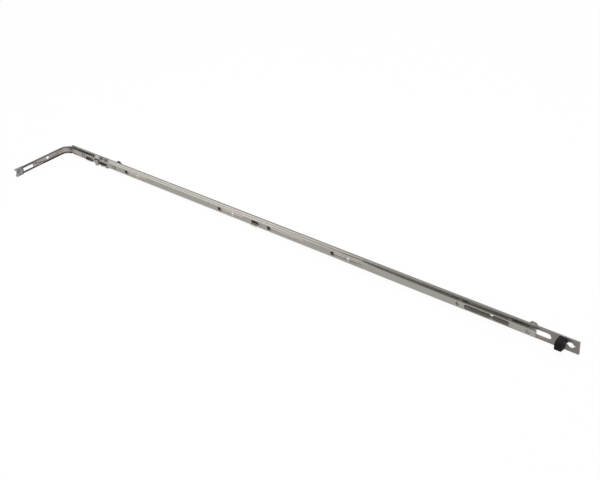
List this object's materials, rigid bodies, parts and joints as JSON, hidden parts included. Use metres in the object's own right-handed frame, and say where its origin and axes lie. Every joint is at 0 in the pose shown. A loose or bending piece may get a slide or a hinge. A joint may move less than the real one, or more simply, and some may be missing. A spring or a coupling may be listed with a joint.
{
  "type": "espagnolette bar",
  "caption": "Drive bar for a turn-tilt window: slotted rod on a long faceplate, roller cams on the outer side, corner drive with a claw on the short leg, plastic end lug",
  "frame": {"origin": "on the axis of the first fixing hole next to the corner, at the faceplate's inner face, in the middle of the strip's width", "axes": "+X along the bar away from the corner, +Y out of the faceplate towards the locking cams, +Z across the strip's width"},
  "size_m": [0.972, 0.1218, 0.0174],
  "materials": {
    "zinc": "zinc plated, satin",
    "spring_steel": "rolled, slightly dark",
    "pin_steel": "turned",
    "black_plastic": "moulded, matt"
  },
  "bodies": {
    "faceplate": {"faceplate": "zinc", "corner_channel": "zinc", "corner_rivets": "pin_steel", "band_outer": "spring_steel", "band_middle": "spring_steel", "band_inner": "spring_steel", "end_lug": "black_plastic"},
    "drive_rod": {"drive_rod": "zinc", "corner_slider": "zinc", "slider_rivets": "pin_steel", "coupling_clip": "zinc", "clip_rivet": "pin_steel", "left_cam_pin": "pin_steel", "left_cam_washer": "spring_steel", "right_cam_pin": "pin_steel", "right_cam_washer": "spring_steel"},
    "left_roller": {"left_cam_roller": "zinc"},
    "right_roller": {"right_cam_roller": "zinc"},
    "leg_slider": {"leg_slider": "zinc", "leg_rivets": "pin_steel", "leg_claw": "zinc", "claw_rivet": "pin_steel"}
  },
  "joints": [
    {"name": "rod_slide", "type": "slide", "parent": "faceplate", "child": "drive_rod", "axis": [1, 0, 0], "range_m": [0, 0.018], "deforming": ["band_outer", "band_middle", "band_inner"]},
    {"name": "leg_slide", "type": "slide", "parent": "faceplate", "child": "leg_slider", "axis": [0, 1, 0], "range_m": [0, 0.018]},
    {"name": "left_roller_turn", "type": "hinge", "parent": "drive_rod", "child": "left_roller", "pos_m": [-0.056, 0.006, 0], "axis": [0, 1, 0], "continuous": true},
    {"name": "right_roller_turn", "type": "hinge", "parent": "drive_rod", "child": "right_roller", "pos_m": [0.719, 0.006, 0], "axis": [0, 1, 0], "continuous": true}
  ],
  "couplings": [
    {"joint": "leg_slide", "follows": "rod_slide", "ratio": 1}
  ]
}
